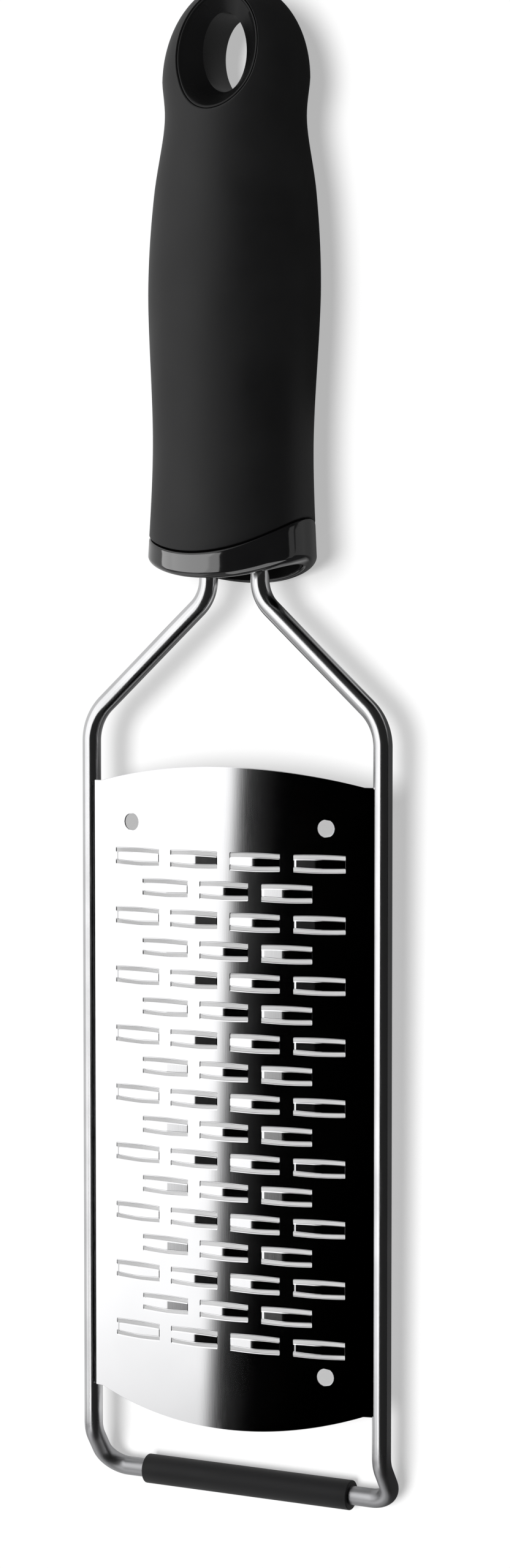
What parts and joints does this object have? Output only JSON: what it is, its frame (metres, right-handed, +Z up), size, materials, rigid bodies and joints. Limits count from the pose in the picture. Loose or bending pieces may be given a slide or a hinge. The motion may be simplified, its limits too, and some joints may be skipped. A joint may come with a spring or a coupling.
{
  "type": "ribbon grater",
  "caption": "Hand grater with an arched polished blade of lanced bridge teeth on a bent wire frame, a moulded soft grip with a hang hole, and a rubber foot.",
  "frame": {"origin": "middle of the underside of the tool's box, as it lies on its back on the handle's belly and the rubber foot", "axes": "+Y along the tool towards the handle, +X across the blade, +Z up out of the blade's face"},
  "size_m": [0.0726, 0.3198, 0.0285],
  "materials": {
    "wire_steel": "polished round rod",
    "blade_steel": "mirror polished sheet",
    "weld_steel": "dull weld bead",
    "foot_rubber": "matte",
    "grip_rubber": "fine matte soft touch",
    "core_plastic": "moulded",
    "gloss_black": "high gloss",
    "plug_plastic": "satin"
  },
  "bodies": {
    "root": {"wire_frame": "wire_steel", "blade": "blade_steel", "weld_left_1": "weld_steel", "weld_left_2": "weld_steel", "weld_left_3": "weld_steel", "weld_left_4": "weld_steel", "weld_left_5": "weld_steel", "weld_left_6": "weld_steel", "weld_right_1": "weld_steel", "weld_right_2": "weld_steel", "weld_right_3": "weld_steel", "weld_right_4": "weld_steel", "weld_right_5": "weld_steel", "weld_right_6": "weld_steel", "foot_sleeve": "foot_rubber", "grip": "grip_rubber", "handle_core": "core_plastic", "end_collar": "gloss_black", "end_plug": "plug_plastic", "eyelet": "gloss_black"}
  },
  "joints": []
}
